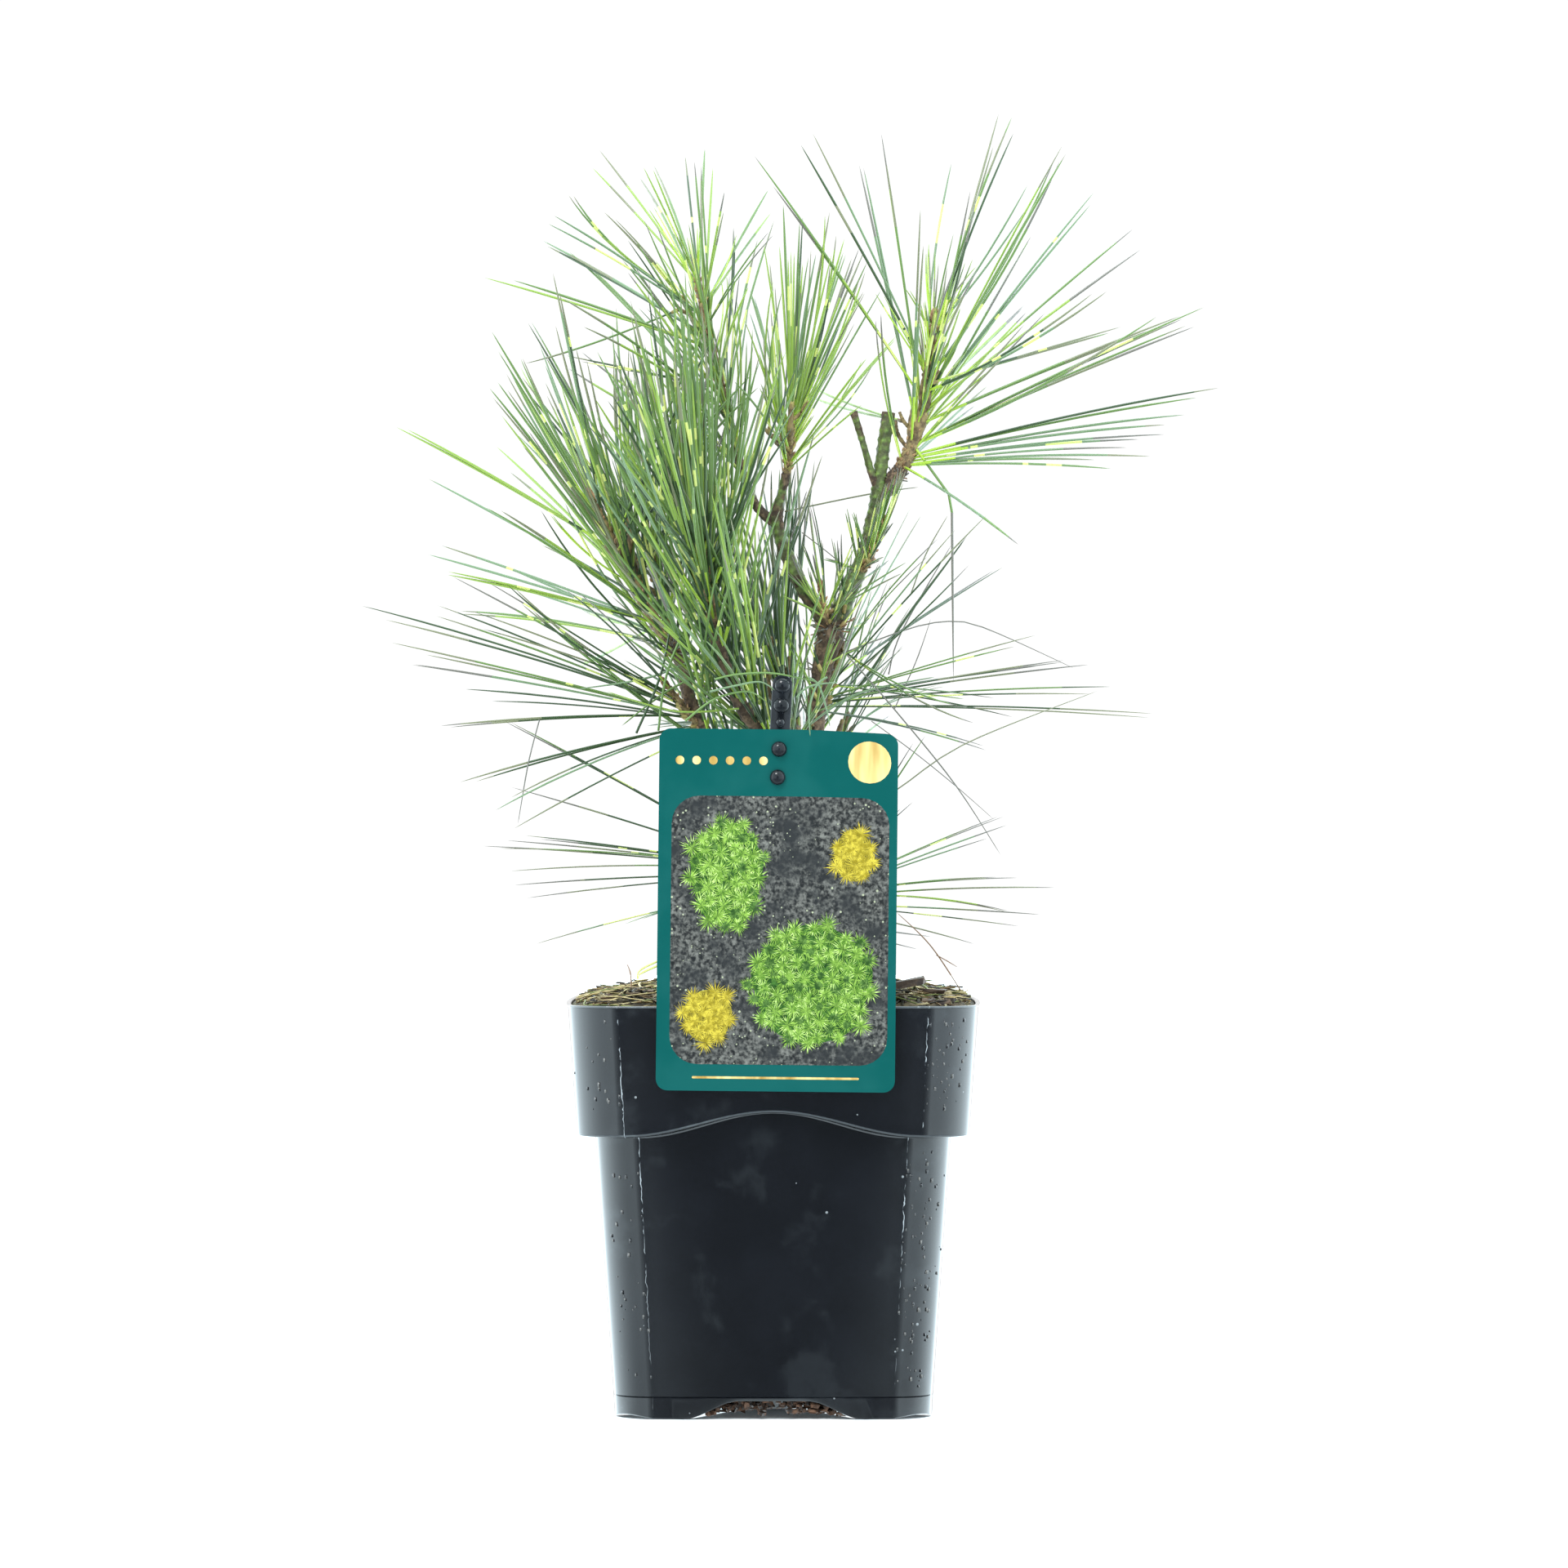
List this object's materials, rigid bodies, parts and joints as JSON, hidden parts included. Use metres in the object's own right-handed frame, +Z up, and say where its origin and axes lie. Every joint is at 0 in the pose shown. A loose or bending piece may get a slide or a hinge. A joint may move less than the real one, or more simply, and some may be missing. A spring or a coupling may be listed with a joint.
{
  "type": "potted dragons eye japanese red pine",
  "caption": "Young banded-needle pine with an open crown of long needle tufts on cut-back limbs, in a square black nursery pot with an unlettered picture card on a push-in stake.",
  "frame": {"origin": "centre of the pot's flat underside, on the surface it stands on", "axes": "+Z up; -Y is the front, where the picture card hangs; +X to the right seen from the front"},
  "size_m": [0.349, 0.2554, 0.5299],
  "materials": {
    "pot_plastic": "satin",
    "potting_soil": "matte",
    "card_plastic": "gloss",
    "stake_plastic": "gloss",
    "trunk_bark": "matte",
    "green_bark": "matte",
    "needles": "satin"
  },
  "bodies": {
    "root": {"pot": "pot_plastic", "soil": "potting_soil", "label_stake": "stake_plastic", "label_card": "card_plastic", "trunk": "trunk_bark", "bough_left": "green_bark", "bough_centre": "green_bark", "bough_middle": "green_bark", "bough_leader": "green_bark", "bough_right": "green_bark", "cut_side_stub": "green_bark", "bough_top_right": "green_bark", "needles_top_right": "needles", "needles_leader": "needles", "needles_left": "needles", "needles_front": "needles", "needles_middle": "needles", "needles_low_left": "needles", "needles_right": "needles", "needles_under_left": "needles", "needles_under_right": "needles", "needles_back": "needles", "needles_back_right": "needles", "needles_back_left": "needles", "needles_limb_side": "needles", "needles_knot": "needles"}
  },
  "joints": []
}
